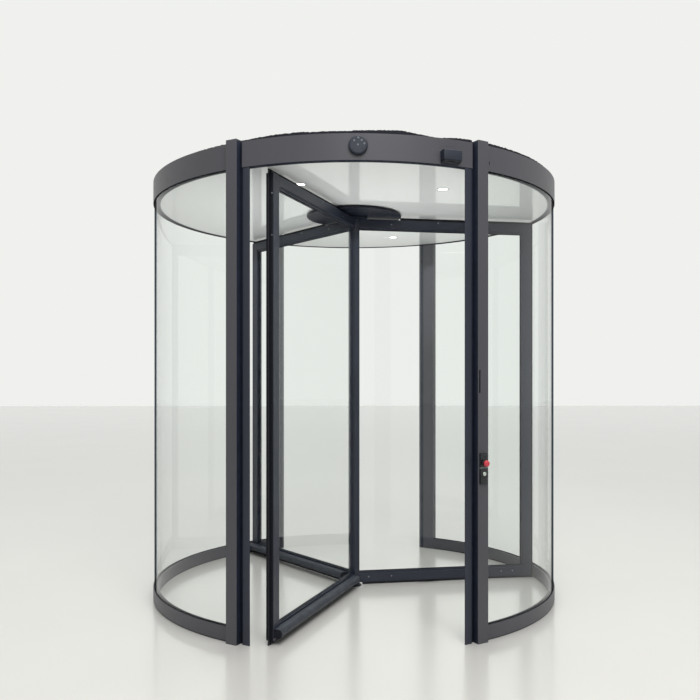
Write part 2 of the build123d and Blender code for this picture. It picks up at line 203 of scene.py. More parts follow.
class DoorFinish(bpy.types.PropertyGroup):
    """Colours of the door"""
    frame_colour: colour_property(
        "Frame", "Powder coat of posts, rails, fascias and headers", srgb(76, 76, 82))
    profile_colour: colour_property(
        "Profiles", "Powder coat of the wing frames and safety edges", srgb(38, 43, 56))
    rubber_colour: colour_property("Rubber", "Gaskets, seals and bristles", srgb(12, 15, 24))
    bumper_colour: colour_property("Bumpers", "Rubber bumpers of the wings", srgb(52, 56, 64))
    ceiling_colour: colour_property("Ceiling", "Gloss panel over the wings", srgb(244, 247, 247))
    glass_tint: colour_property("Glass tint", "What one face of the glass lets through",
                                (0.984, 0.992, 0.988))
    # Painted shade: the dark tint the drum's glass turns to where it is seen along its face, for
    # the dark line along its silhouette
    glass_edge_shade: colour_property("Glass edge", "Tint of the drum's glass seen along its face",
                                (0.16, 0.20, 0.24))
    stop_colour: colour_property("Stop button", "Head of the emergency stop", srgb(205, 60, 74))


class DoorSize(bpy.types.PropertyGroup):
    """Sizes of its small pieces"""
    bristle_pitch: FloatProperty(name="Bristle pitch", description="Distance between two tufts",
                                 default=5 * MM, unit="LENGTH")
    screw_radius: FloatProperty(name="Screw radius", description="Head of a frame screw",
                                default=4 * MM, unit="LENGTH")
    cover_roughness: FloatProperty(name="Cover roughness", unit="LENGTH", default=2.0 * MM,
                                   description="Unevenness of the roof cover's rim")


class DoorStage(bpy.types.PropertyGroup):
    """Floor and surroundings"""
    floor_colour: colour_property("Floor", "Plain pale floor", srgb(226, 224, 219))
    backdrop_colour: colour_property("Backdrop", "Plain pale surroundings", srgb(240, 241, 238))
    floor_size: FloatProperty(name="Floor size", description="Side of the square floor",
                              default=60.0, unit="LENGTH")


# Materials


def new_material(name):
    """A material with a Principled shader, and that shader."""
    material = bpy.data.materials.new(name)
    material.use_nodes = True
    return material, material.node_tree.nodes["Principled BSDF"]


def noise(material, scale, detail=2.0, stretch=(1, 1, 1)):
    """Noise over the piece's own coordinates, in blobs of about one over scale metres."""
    nodes, links = material.node_tree.nodes, material.node_tree.links
    place = nodes.new("ShaderNodeTexCoord")
    mapping = nodes.new("ShaderNodeMapping")
    mapping.inputs["Scale"].default_value = stretch
    texture = nodes.new("ShaderNodeTexNoise")
    texture.inputs["Scale"].default_value = scale
    texture.inputs["Detail"].default_value = detail
    links.new(place.outputs["Object"], mapping.inputs["Vector"])
    links.new(mapping.outputs["Vector"], texture.inputs["Vector"])
    return texture


def vary_colour(material, shader, texture, dark, light):
    """Base colour that drifts between two tones with a texture."""
    nodes, links = material.node_tree.nodes, material.node_tree.links
    ramp = nodes.new("ShaderNodeValToRGB")
    ramp.color_ramp.elements[0].position = 0.3
    ramp.color_ramp.elements[1].position = 0.7
    ramp.color_ramp.elements[0].color = (*dark, 1)
    ramp.color_ramp.elements[1].color = (*light, 1)
    links.new(texture.outputs["Fac"], ramp.inputs["Fac"])
    links.new(ramp.outputs["Color"], shader.inputs["Base Color"])


def vary_roughness(material, shader, texture, low, high):
    """Roughness that follows a texture."""
    nodes, links = material.node_tree.nodes, material.node_tree.links
    spread = nodes.new("ShaderNodeMapRange")
    spread.inputs["To Min"].default_value = low
    spread.inputs["To Max"].default_value = high
    links.new(texture.outputs["Fac"], spread.inputs["Value"])
    links.new(spread.outputs["Result"], shader.inputs["Roughness"])


def bump(material, shader, texture, depth, strength=0.5):
    """Surface relief of the given depth in metres."""
    nodes, links = material.node_tree.nodes, material.node_tree.links
    relief = nodes.new("ShaderNodeBump")
    relief.inputs["Strength"].default_value = strength
    relief.inputs["Distance"].default_value = depth
    links.new(texture.outputs["Fac"], relief.inputs["Height"])
    links.new(relief.outputs["Normal"], shader.inputs["Normal"])


def tone(colour, factor):
    """Lighter or darker version of a colour."""
    return tuple(min(1.0, channel * factor) for channel in colour)


def powder_coat(name, colour, roughness):
    """Satin powder coat: faint drifts of tone, and a fine orange-peel skin."""
    material, shader = new_material(name)
    drift = noise(material, 3.0, 3.0, (1, 1, 0.3))
    vary_colour(material, shader, drift, tone(colour, 0.92), tone(colour, 1.08))
    vary_roughness(material, shader, noise(material, 40.0, 4.0), roughness - 0.05, roughness + 0.05)
    bump(material, shader, noise(material, 900.0, 2.0), 0.0002, 0.25)
    shader.inputs["Specular IOR Level"].default_value = 0.4
    return material


def rubber(name, colour, roughness=0.75):
    """Matt extruded rubber with a dusty bloom."""
    material, shader = new_material(name)
    vary_colour(material, shader, noise(material, 25.0, 5.0), tone(colour, 0.8), tone(colour, 1.3))
    shader.inputs["Roughness"].default_value = roughness
    shader.inputs["Specular IOR Level"].default_value = 0.25
    bump(material, shader, noise(material, 700.0, 3.0), 0.0003, 0.3)
    return material


def bristle(name, colour):
    """Dark nylon filaments, streaked along their length."""
    material, shader = new_material(name)
    vary_colour(material, shader, noise(material, 900.0, 2.0), tone(colour, 0.5), tone(colour, 1.4))
    shader.inputs["Roughness"].default_value = 0.6
    bump(material, shader, noise(material, 1500.0, 2.0), 0.0004, 0.6)
    return material


def clear_glass(name, tint, edge=None):
    """Clear pane: light passes straight through, and only the faces it enters by mirror.

    Where an edge shade is given, the pane darkens to it as it is seen along its face, and its
    mirror fades there: painted shade for the dark line that refraction draws along a curved pane's
    silhouette."""
    ior, edge_shade_start, edge_shade_full, edge_shade_mirror = 1.5, 0.85, 0.87, 0.04
    material = bpy.data.materials.new(name)
    material.use_nodes = True
    nodes, links = material.node_tree.nodes, material.node_tree.links
    nodes.remove(nodes["Principled BSDF"])
    through = nodes.new("ShaderNodeBsdfTransparent")
    through.inputs["Color"].default_value = (*tint, 1)
    mirror = nodes.new("ShaderNodeBsdfGlossy")
    mirror.inputs["Roughness"].default_value = 0.0
    angle = nodes.new("ShaderNodeFresnel")
    angle.inputs["IOR"].default_value = ior
    side = nodes.new("ShaderNodeNewGeometry")
    entering = nodes.new("ShaderNodeMix")
    pane = nodes.new("ShaderNodeMixShader")
    links.new(side.outputs["Backfacing"], entering.inputs["Factor"])
    links.new(angle.outputs["Fac"], entering.inputs["A"])
    entering.inputs["B"].default_value = 0.0
    links.new(entering.outputs["Result"], pane.inputs["Fac"])
    # Painted shade along the silhouette: the see-through tint darkens and the mirror fades where
    # the face is seen edge on
    if edge:
        grazing = nodes.new("ShaderNodeLayerWeight")
        grazing.inputs["Blend"].default_value = 0.5
        steep = nodes.new("ShaderNodeMapRange")
        steep.inputs["From Min"].default_value = edge_shade_start
        steep.inputs["From Max"].default_value = edge_shade_full
        shade_tints = nodes.new("ShaderNodeMix")
        shade_tints.data_type = "RGBA"
        shade_tints.inputs["A"].default_value = (*tint, 1)
        shade_tints.inputs["B"].default_value = (*edge, 1)
        gleam = nodes.new("ShaderNodeMix")
        gleam.inputs["B"].default_value = edge_shade_mirror
        links.new(grazing.outputs["Facing"], steep.inputs["Value"])
        links.new(steep.outputs["Result"], shade_tints.inputs["Factor"])
        links.new(shade_tints.outputs["Result"], through.inputs["Color"])
        links.new(steep.outputs["Result"], gleam.inputs["Factor"])
        links.new(entering.outputs["Result"], gleam.inputs["A"])
        links.new(gleam.outputs["Result"], pane.inputs["Fac"])
    links.new(through.outputs["BSDF"], pane.inputs[1])
    links.new(mirror.outputs["BSDF"], pane.inputs[2])
    links.new(pane.outputs["Shader"], nodes["Material Output"].inputs["Surface"])
    return material


def gloss_panel(name, colour):
    """Lacquered flat panel that mirrors what stands under it."""
    material, shader = new_material(name)
    vary_colour(material, shader, noise(material, 1.5, 2.0), tone(colour, 0.98), tone(colour, 1.02))
    shader.inputs["Roughness"].default_value = 0.35
    shader.inputs["Coat Weight"].default_value = 1.0
    shader.inputs["Coat Roughness"].default_value = 0.02
    shader.inputs["Coat IOR"].default_value = 1.9
    return material


def rough_cover(name, colour):
    """Coarse dark cover, matt and uneven."""
    material, shader = new_material(name)
    vary_colour(material, shader, noise(material, 240.0, 6.0), tone(colour, 0.4), tone(colour, 2.4))
    shader.inputs["Roughness"].default_value = 0.9
    bump(material, shader, noise(material, 260.0, 4.0), 0.003, 0.8)
    return material


def plastic(name, colour, roughness=0.4, grain_depth=0.0002):
    """Moulded plastic with a fine etched grain."""
    material, shader = new_material(name)
    vary_colour(material, shader, noise(material, 30.0, 3.0), tone(colour, 0.92), tone(colour, 1.1))
    shader.inputs["Roughness"].default_value = roughness
    bump(material, shader, noise(material, 1200.0, 2.0), grain_depth, 0.3)
    return material


def metal(name, colour, roughness):
    """Turned metal with faint wear."""
    material, shader = new_material(name)
    vary_colour(material, shader, noise(material, 120.0, 4.0), tone(colour, 0.85), colour)
    vary_roughness(material, shader, noise(material, 400.0, 3.0), roughness - 0.08, roughness + 0.1)
    shader.inputs["Metallic"].default_value = 1.0
    return material


def lit_diffuser(name, colour, strength):
    """Frosted lens of a lamp that is on."""
    material, shader = new_material(name)
    vary_colour(material, shader, noise(material, 300.0, 3.0), tone(colour, 0.97), colour)
    shader.inputs["Emission Color"].default_value = (*colour, 1)
    shader.inputs["Emission Strength"].default_value = strength
    bump(material, shader, noise(material, 500.0, 2.0), 0.0003, 0.2)
    return material


def wear(obj, *materials):
    """Give an object its materials, the first one all over if it has slots already."""
    if obj.material_slots:
        for slot in obj.material_slots:
            slot.link = "OBJECT"
            slot.material = materials[0]
    else:
        for material in materials:
            obj.data.materials.append(material)
    return obj


# Shapes


def finish_part(part, material=0):
    """Merge doubles, turn all faces outwards and give them their material."""
    bmesh.ops.remove_doubles(part, verts=part.verts, dist=0.005 * MM)
    bmesh.ops.recalc_face_normals(part, faces=part.faces)
    for face in part.faces:
        face.material_index = material
    return part


def soften(part, width, edges=None, segments=2):
    """Round the given edges, or all of them."""
    bmesh.ops.bevel(part, geom=list(edges or part.edges), offset=width, offset_type="OFFSET",
                    segments=segments, profile=0.5, affect="EDGES", clamp_overlap=True,
                    material=-1)
    return part


def block(size, rounding=0.0, material=0, segments=2):
    """Box about the origin with rounded arrises."""
    part = bmesh.new()
    bmesh.ops.create_cube(part, size=1.0)
    bmesh.ops.scale(part, vec=size, verts=part.verts)
    if rounding:
        soften(part, rounding, segments=segments)
    return finish_part(part, material)


def turned(outline, steps=32, material=0):
    """Shape turned about the z axis from an outline of (radius, height)."""
    part = bmesh.new()
    verts = [part.verts.new((radius, 0, height)) for radius, height in outline]
    for start, end in zip(verts, verts[1:]):
        part.edges.new((start, end))
    bmesh.ops.spin(part, geom=part.verts[:] + part.edges[:], cent=(0, 0, 0), axis=(0, 0, 1),
                   angle=2 * math.pi, steps=steps, use_merge=True)
    return finish_part(part, material)


def bar(outline, length):
    """Straight bar along z with the given (x, y) outline."""
    part = bmesh.new()
    face = part.faces.new([part.verts.new((x, y, 0)) for x, y in outline])
    made = bmesh.ops.extrude_face_region(part, geom=[face])["geom"]
    far = [v for v in made if isinstance(v, bmesh.types.BMVert)]
    bmesh.ops.translate(part, vec=(0, 0, length), verts=far)
    return finish_part(part)


def add(shape, part, place=None):
    """Join a finished part to a shape at its place."""
    if place is not None:
        part.transform(place)
    carrier = bpy.data.meshes.new("carrier")
    part.to_mesh(carrier)
    part.free()
    shape.from_mesh(carrier)
    bpy.data.meshes.remove(carrier)


def shift(x=0.0, y=0.0, z=0.0):
    """Move without a turn."""
    return Matrix.Translation((x, y, z))


def make_piece(name, shape, body, slot, *materials, replaces=()):
    """Turn a shape into an object that rides on a body."""
    mesh = bpy.data.meshes.new(name)
    shape.to_mesh(mesh)
    shape.free()
    obj = bpy.data.objects.new(name, mesh)
    bpy.context.scene.collection.objects.link(obj)
    wear(obj, *materials)
    mesh.shade_smooth()
    mesh.set_sharp_from_angle(angle=math.radians(35))
    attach(obj, body)
    if replaces:
        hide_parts(*replaces)
    return obj


def screw_head(radius, proud=0.8 * MM, material=0):
    """Low round head with a socket."""
    socket = radius * 0.45
    return turned([(0, -0.2 * MM), (socket, -0.2 * MM), (socket, proud * 0.95),
                   (radius * 0.75, proud), (radius, proud * 0.4), (radius, -0.5 * MM),
                   (0, -0.5 * MM)], 16, material)


class DoorOperator:
    """Shared settings of the door's operators."""
    bl_options = {"REGISTER", "UNDO"}


class PaintFrame(DoorOperator, bpy.types.Operator):
    """Powder-coat the posts, rails, fascias and headers"""
    bl_idname = "door.paint_frame"
    bl_label = "Paint Frame"

    def execute(self, context):
        finish = context.scene.door_finish
        coat = powder_coat("frame_powder_coat", tuple(finish.frame_colour), 0.42)
        posts = ("front_left_post", "front_right_post", "rear_left_post", "rear_right_post")
        for node in nodes_of(*posts, "bottom_rail", "fascia", "front_header", "rear_header"):
            wear(node, coat)
        return {"FINISHED"}


class PaintProfiles(DoorOperator, bpy.types.Operator):
    """Coat the wing frames, column, ceiling disc, trim and safety edges"""
    bl_idname = "door.paint_profiles"
    bl_label = "Paint Profiles"

    def execute(self, context):
        colour = tuple(context.scene.door_finish.profile_colour)
        coat = powder_coat("profile_powder_coat", colour, 0.38)
        for node in nodes_of("front_safety", "rear_safety", "center_column", "ceiling_trim"):
            wear(node, coat)
        matt = powder_coat("disc_powder_coat", tone(colour, 0.55), 0.38)
        matt.node_tree.nodes["Principled BSDF"].inputs["Specular IOR Level"].default_value = 0.15
        wear(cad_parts["ceiling_disc"], matt)
        for wing in WINGS:
            for node in nodes_of(f"wing_{wing}_stile", f"wing_{wing}_rails"):
                wear(node, coat)
        return {"FINISHED"}


def arc(start, end, radii, heights, steps=72):
    """Upright band about the drum's axis between two door angles."""
    part = bmesh.new()
    (inner, outer), (low, high) = radii, heights
    corners = ((inner, low), (outer, low), (outer, high), (inner, high))
    face = part.faces.new([part.verts.new((radius, 0, height)) for radius, height in corners])
    bmesh.ops.spin(part, geom=[face, *face.edges, *face.verts], cent=(0, 0, 0), axis=(0, 0, 1),
                   angle=math.radians(end - start), steps=steps)
    part.transform(Matrix.Rotation(math.radians(start - 90), 4, "Z"))
    return finish_part(part)


class FitGlass(DoorOperator, bpy.types.Operator):
    """Glaze the drum and the wings, with the painted edge shade on the drum's outer faces only"""
    bl_idname = "door.fit_glass"
    bl_label = "Fit Glass"

    def execute(self, context):
        finish = context.scene.door_finish
        tint = tuple(finish.glass_tint)
        glass = clear_glass("clear_glass", tint)
        curved = clear_glass("curved_clear_glass", tint, edge=tuple(finish.glass_edge_shade))
        for name, (start, end) in PANE_SPANS.items():
            row, side = name.split("_")
            pane = arc(start, end, PANE_RADII, PANE_HEIGHTS)
            for face in pane.faces:
                centre = face.calc_center_median().xy.to_3d()
                face.material_index = int(face.normal.dot(centre) < 0)
            make_piece(f"{name}_pane", pane, "drum", "clear_glass", curved, glass,
                       replaces=[f"curved_glass_{row}_{side}"])
        for wing in WINGS:
            wear(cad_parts[f"wing_{wing}_glass"], glass)
        return {"FINISHED"}


def add_tufts(shape, start, end, root, length, pitch, draw, along, out):
    """Strip of bristles between two places along an edge: a dense core and rows of tufts."""
    core, row, lean_limit = length - 1.2 * MM, 2.2 * MM, 0.05
    thickness = Vector((4 * MM, 0, 0))
    size = thickness + along * (end - start - 1 * MM) + Vector([abs(c) for c in out]) * core
    add(shape, block(size, 0.8 * MM, 1),
        Matrix.Translation(root + along * (start + end) / 2 + out * core / 2))
    count = int((end - start) / pitch)
    for step in range(count):
        for side in (-1, 1):
            tuft = bmesh.new()
            bmesh.ops.create_cone(tuft, cap_ends=True, segments=5, radius1=1.7 * MM,
                                  radius2=1.1 * MM, depth=length)
            bmesh.ops.translate(tuft, vec=(0, 0, length / 2), verts=tuft.verts)
            lean = Matrix.Rotation(draw.uniform(-lean_limit, lean_limit), 4, "X")
            lean @= Matrix.Rotation(draw.uniform(-lean_limit, lean_limit), 4, "Y")
            tuft.transform(lean)
            spot = start + (step + 0.5 + 0.25 * side) * pitch
            add(shape, finish_part(tuft, 1),
                Matrix.Translation(root + along * spot + Vector((side * row, 0, 0)))
                @ Vector((0, 0, 1)).rotation_difference(out).to_matrix().to_4x4())


def build_brushes(wing, pitch, draw):
    """Brush seals of one wing: dark holders with rows of tufts."""
    shape = bmesh.new()
    up, out = Vector((0, 1, 0)), Vector((0, 0, 1))
    holder, seat, lean_room = 4 * MM, 1 * MM, 0.6 * MM
    root = holder - seat
    foot_start, head_start = 51 * MM, 280.5 * MM
    tip_span = BRUSH_TOP - BRUSH_BOTTOM
    edges = [
        ((BRUSH_THICKNESS, tip_span - 2 * MM, holder),
         (0, (BRUSH_TOP + BRUSH_BOTTOM) / 2, WING_OUTER + holder / 2)),
        ((BRUSH_THICKNESS, holder, WING_OUTER - foot_start),
         (0, WING_BOTTOM - holder / 2, (WING_OUTER + foot_start) / 2)),
        ((BRUSH_THICKNESS, holder, WING_OUTER - head_start),
         (0, WING_TOP + holder / 2, (WING_OUTER + head_start) / 2)),
    ]
    for size, centre in edges:
        add(shape, block(size, 0.6 * MM), shift(*centre))
    add_tufts(shape, BRUSH_BOTTOM, BRUSH_TOP, out * (WING_OUTER + root),
              WING_TIP - WING_OUTER - root - lean_room, pitch, draw, up, out)
    add_tufts(shape, foot_start, WING_OUTER, up * (WING_BOTTOM - root),
              WING_BOTTOM - BRUSH_BOTTOM - root - lean_room, pitch, draw, out, -up)
    add_tufts(shape, head_start, WING_OUTER, up * (WING_TOP + root),
              BRUSH_TOP - WING_TOP - root - lean_room, pitch, draw, out, up)
    shape.transform(at(wing_angle(wing), 0, 0))
    return shape


def nosed_block(length, rounding):
    """Stretch of a bumper's section along z, with its two outer edges rounded."""
    part = bmesh.new()
    bmesh.ops.create_cube(part, size=1.0)
    bmesh.ops.scale(part, vec=(BUMPER_DEPTH, BUMPER_HEIGHT, length), verts=part.verts)
    nose = [e for e in part.edges
            if abs(e.verts[0].co.z - e.verts[1].co.z) > length / 2 and e.verts[0].co.x > 0]
    return soften(part, rounding, nose, 10)


def build_bumper(wing):
    """Rounded rubber bumper with a dark cap and a small screw at each end."""
    shape = bmesh.new()
    cap, seam = 5 * MM, 0.6 * MM
    start, end = BUMPER_SPAN
    across, middle = WING_THICKNESS / 2 + BUMPER_DEPTH / 2, BUMPER_FOOT + BUMPER_HEIGHT / 2
    section = nosed_block(end - start - 2 * cap, BUMPER_ROUNDING)
    for side in (-1, 1):
        ends = [f for f in section.faces if f.normal.z * side > 0.99]
        cap_made = bmesh.ops.extrude_face_region(section, geom=ends)["geom"]
        rim = [v for v in cap_made if isinstance(v, bmesh.types.BMVert)]
        bmesh.ops.translate(section, vec=(0, 0, side * 0.5 * MM), verts=rim)
    add(shape, finish_part(section), shift(across, middle, (start + end) / 2))
    for place in (start, end - cap):
        lid = nosed_block(cap - seam, BUMPER_ROUNDING - 0.5 * MM)
        add(shape, finish_part(lid, 1), shift(across, middle, place + cap / 2))
        turn = Matrix.Identity(4) if place > start else Matrix.Rotation(math.pi, 4, "Y")
        face = place + (cap - seam / 2 if place > start else seam / 2)
        add(shape, screw_head(3 * MM, 0.25 * MM, 1), shift(across, middle, face) @ turn)
    shape.transform(at(wing_angle(wing), 0, 0))
    return shape


def build_glazing_seals(wing):
    """Thin rubber wedges between the beads and both faces of a wing's glass."""
    shape = bmesh.new()
    low, high = WING_GLASS
    lip, half = 3 * MM, WING_GLASS_THICKNESS / 2
    span = STILE_INNER - COLUMN_FLAT
    for side in (-1, 1):
        wedge = [(0, 0), (side * 3 * MM, 0), (side * 2.4 * MM, lip * 0.6), (side * 0.4 * MM, lip)]
        add(shape, bar(wedge, span), shift(side * half, low, COLUMN_FLAT))
        add(shape, bar([(x, -y) for x, y in wedge], span), shift(side * half, high, COLUMN_FLAT))
        upright = bar(wedge, high - low - 2 * lip)
        upright.transform(Matrix.Rotation(math.pi / 2, 4, "X"))
        add(shape, upright, shift(side * half, high - lip, STILE_INNER) @
            Matrix.Scale(-1, 4, (0, 0, 1)))
    bmesh.ops.recalc_face_normals(shape, faces=shape.faces)
    shape.transform(at(wing_angle(wing), 0, 0))
    return shape


def build_tip_seal(wing):
    """Flat rubber carrier over the tip face, beside the brush."""
    shape = bmesh.new()
    for side in (-1, 1):
        add(shape, block((11 * MM, WING_TOP - WING_BOTTOM - 2 * MM, 2.4 * MM), 0.7 * MM),
            shift(side * 12 * MM, (WING_TOP + WING_BOTTOM) / 2, WING_OUTER + 0.9 * MM))
    shape.transform(at(wing_angle(wing), 0, 0))
    return shape


def build_shade_liners():
    """Painted shade in dark navy: lips under the fascias and headers, strips in the grooves and
    cheeks over the posts' side faces; and a small plug.
    """
    shape = bmesh.new()
    lip = (CLEAR_HEIGHT - LIP_THICKNESS, CLEAR_HEIGHT)
    whole_lip = (INNER_LIP_RADII[0], OUTER_LIP_RADII[1])
    # Painted shade: thin dark lips on the undersides of the fascias and the headers
    for _, middle in PASSAGES:
        start = middle + FASCIA_START
        for radii in (INNER_LIP_RADII, OUTER_LIP_RADII):
            add(shape, arc(start, start + FASCIA_SWEEP, radii, lip))
    for _, middle in PASSAGES:
        add(shape, arc(middle - HEADER_HALF_ANGLE, middle + HEADER_HALF_ANGLE, whole_lip, lip, 36))
    for angle, passage_side in zip(POST_ANGLES, (-1, 1, 1, -1)):
        # Painted shadow gap: a dark strip on the floor of the groove beside the post
        groove_shadow_strip = block((14.5 * MM, SHADE_LINER_LENGTH, 1.2 * MM), 0.3 * MM)
        groove_shadow_strip.transform(shift(passage_side * 38.25 * MM, SHADE_LINER_MIDDLE, 1137.4 * MM))
        add(shape, groove_shadow_strip, at(angle, 0, 0))
        # Painted shade: a thin dark sheet over the post's side face towards the passage
        shade_cheek = block((0.8 * MM, SHADE_LINER_LENGTH, 33 * MM), 0.3 * MM)
        shade_cheek.transform(shift(passage_side * 30.8 * MM, SHADE_LINER_MIDDLE, DRUM_RADIUS))
        add(shape, shade_cheek, at(angle, 0, 0))
    plug = turned([(0, 0.8 * MM), (2 * MM, 0.7 * MM), (2.6 * MM, 0), (2.6 * MM, -0.6 * MM),
                   (0, -0.6 * MM)], 16)
    plug.transform(Matrix.Scale(3.4, 4, (0, 1, 0)))
    add(shape, finish_part(plug), at(PLUG_ANGLE, DRUM_RADIUS, PLUG_HEIGHT))
    return shape


class FitSeals(DoorOperator, bpy.types.Operator):
    """Rubber gaskets, base seals, brushes and bumpers"""
    bl_idname = "door.fit_seals"
    bl_label = "Fit Seals"

    def execute(self, context):
        finish, size = context.scene.door_finish, context.scene.door_size
        black = rubber("seal_rubber", tuple(finish.rubber_colour))
        grey = rubber("bumper_rubber", tuple(finish.bumper_colour), 0.5)
        fibre = bristle("bristle_nylon", tuple(finish.rubber_colour))
        draw = random.Random(7)
        for node in nodes_of("base_seals", "glass_gaskets"):
            wear(node, black)
        # Dark navy of the liners, which paints the shade under the fascias and headers, in the
        # grooves and on the posts' sides
        shade_navy = rubber("painted_shade_liner", srgb(24, 31, 46))
        make_piece("drum_painted_shade_liners", build_shade_liners(), "drum", "black_rubber", shade_navy)
        for wing in WINGS:
            make_piece(f"wing_{wing}_bristles", build_brushes(wing, size.bristle_pitch, draw),
                       "rotor", "black_rubber", black, fibre, replaces=[f"wing_{wing}_brushes"])
            make_piece(f"wing_{wing}_rubber_bumper", build_bumper(wing), "rotor", "black_rubber",
                       grey, black, replaces=[f"wing_{wing}_bumper"])
            make_piece(f"wing_{wing}_glazing_seals", build_glazing_seals(wing), "rotor",
                       "black_rubber", black)
            make_piece(f"wing_{wing}_tip_seals", build_tip_seal(wing), "rotor", "black_rubber",
                       black)
        return {"FINISHED"}


class DriveScrews(DoorOperator, bpy.types.Operator):
    """Small screw heads on the wing frames"""
    bl_idname = "door.drive_screws"
    bl_label = "Drive Screws"

    def execute(self, context):
        radius = context.scene.door_size.screw_radius
        steel = metal("screw_steel", srgb(165, 170, 178), 0.5)
        half = WING_THICKNESS / 2
        to_lead = Matrix.Rotation(math.pi / 2, 4, "Y")
        to_trail = Matrix.Rotation(-math.pi / 2, 4, "Y")
        for wing in WINGS:
            shape = bmesh.new()
            for along in FOOT_SCREWS:
                add(shape, screw_head(radius), shift(-half, FOOT_SCREW_HEIGHT, along) @ to_trail)
            for height, along in HEAD_SCREWS:
                add(shape, screw_head(radius), shift(-half, height, along) @ to_trail)
                add(shape, screw_head(radius), shift(half, height, along) @ to_lead)
            for height in TIP_SCREW_HEIGHTS:
                add(shape, screw_head(radius * 0.8, 0.5 * MM),
                    shift(12 * MM, height, WING_OUTER + 2 * MM))
            shape.transform(at(wing_angle(wing), 0, 0))
            make_piece(f"wing_{wing}_screws", shape, "rotor", "pivot_steel", steel)
        return {"FINISHED"}


class BuildCeiling(DoorOperator, bpy.types.Operator):
    """Gloss ceiling with its downlights"""
    bl_idname = "door.build_ceiling"
    bl_label = "Build Ceiling"

    def execute(self, context):
        finish = context.scene.door_finish
        wear(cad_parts["ceiling_panel"],
             gloss_panel("gloss_ceiling", tuple(finish.ceiling_colour)))
        wear(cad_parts["top_bearing"], metal("bearing_steel", (0.5, 0.5, 0.5), 0.4))
        rim_paint = powder_coat("light_rim_paint", srgb(70, 74, 80), 0.35)
        glow = lit_diffuser("lamp_lens", (1.0, 0.99, 0.96), 3.0)
        shape = bmesh.new()
        for angle in LIGHT_ANGLES:
            place = outward(angle) * LIGHT_CIRCLE
            ring = turned([(26.5 * MM, 2.5 * MM), (26.5 * MM, -0.6 * MM), (27.6 * MM, -1.4 * MM),
                           (29.6 * MM, -1.4 * MM), (31 * MM, -0.4 * MM), (31 * MM, 0.4 * MM),
                           (29 * MM, 2.5 * MM), (26.5 * MM, 2.5 * MM)], 48, 0)
            add(shape, ring, shift(place.x, place.y, CLEAR_HEIGHT))
            lens = turned([(0, -0.5 * MM), (14 * MM, -0.4 * MM), (26.5 * MM, 0.6 * MM),
                           (26.5 * MM, 2 * MM), (0, 2 * MM)], 48, 1)
            add(shape, lens, shift(place.x, place.y, CLEAR_HEIGHT))
        make_piece("downlight_fittings", shape, "drum", "light_white", rim_paint, glow,
                   replaces=["downlights"])
        return {"FINISHED"}


def rim_height(angle):
    """Height of the roof cover's rim over the header at a door angle."""
    for (start, low), (end, high) in zip(COVER_RIM, COVER_RIM[1:]):
        if start <= angle <= end:
            return (low + (high - low) * (angle - start) / (end - start)) * MM
    return COVER_RIM[-1][1] * MM


def build_cover(roughness):
    """Loose dark cover with an uneven rim, folded up over the front header."""
    underside = HEADER_TOP + 0.3 * MM
    outline = [(COVER_RADIUS * share, HEADER_TOP + 4 * MM) for share in (0, 0.5, 0.9, 0.97, 1.0)]
    outline += [(COVER_RADIUS, underside), (0, underside)]
    part = turned(outline, 1080)
    for vert in part.verts:
        flat = Vector((vert.co.x, vert.co.y, 0))
        radius = flat.length
        if radius < 0.01:
            continue
        angle = math.degrees(math.atan2(flat.y, flat.x)) + 90
        angle = angle - 360 if angle > 180 else angle
        rim = rim_height(angle)
        seed = Vector((vert.co.x * 210, vert.co.y * 210, 3.0))
        ragged = mathnoise.noise(seed) + 0.6 * mathnoise.noise(seed * 2.7)
        if vert.co.z > HEADER_TOP + 2 * MM:
            share = max(0.0, (radius / COVER_RADIUS - COVER_RIM_START) / (1 - COVER_RIM_START))
            lift = COVER_FLAT + (rim - COVER_FLAT) * share
            vert.co.z = min(HEADER_TOP + max(0.6 * MM, lift + roughness * ragged), COVER_TOP)
        reach = radius + 1.2 * roughness * ragged * (radius / COVER_RADIUS) ** 8
        post = min(abs((angle - place + 180) % 360 - 180) for place in POST_ANGLES)
        if post < COVER_NOTCH_ANGLE:
            reach = min(reach, COVER_NOTCH_REACH)
        vert.co.xy = flat.xy.normalized() * min(reach, COVER_REACH)
    bmesh.ops.recalc_face_normals(part, faces=part.faces)
    return part


class BuildRoof(DoorOperator, bpy.types.Operator):
    """Roof panel and the dark cover on it"""
    bl_idname = "door.build_roof"
    bl_label = "Build Roof"

    def execute(self, context):
        cloth = rough_cover("roof_cover_cloth", srgb(14, 15, 25))
        wear(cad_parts["roof_panel"], powder_coat("roof_paint", srgb(60, 60, 62), 0.5))
        make_piece("ragged_roof_cover", build_cover(context.scene.door_size.cover_roughness),
                   "drum", "roof_black", cloth, replaces=["roof_cover"])
        return {"FINISHED"}


